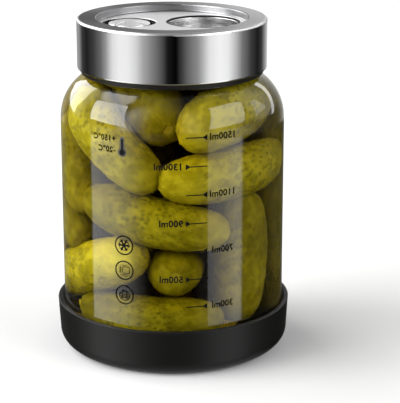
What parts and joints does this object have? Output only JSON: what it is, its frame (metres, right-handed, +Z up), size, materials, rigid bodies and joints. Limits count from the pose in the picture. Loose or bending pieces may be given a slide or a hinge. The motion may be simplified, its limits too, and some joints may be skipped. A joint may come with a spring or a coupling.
{
  "type": "fermentation jar",
  "caption": "Wide glass jar of gherkins in brine, standing in a soft black base cup, with a steel screw lid that has a turning vent and a dished plug.",
  "frame": {"origin": "middle of the flat face that the base cup stands on", "axes": "+Z up along the jar's axis; -Y is the side with the volume marks"},
  "size_m": [0.1378, 0.1378, 0.1945],
  "materials": {
    "clear_glass": "smooth clear glass",
    "brine": "cloudy olive brine",
    "black_silicone": "matte silicone",
    "lid_steel": "polished sheet",
    "black_liner": "matte",
    "knob_steel": "satin",
    "plug_steel": "polished dish"
  },
  "bodies": {
    "root": {"glass_jar": "clear_glass", "brine": "brine", "base_cup": "black_silicone", "lid_shell": "lid_steel", "lid_liner": "black_liner", "vent_cup": "black_liner", "vent_knob": "knob_steel", "plug_seal": "black_silicone", "plug_cup": "plug_steel"}
  },
  "joints": []
}
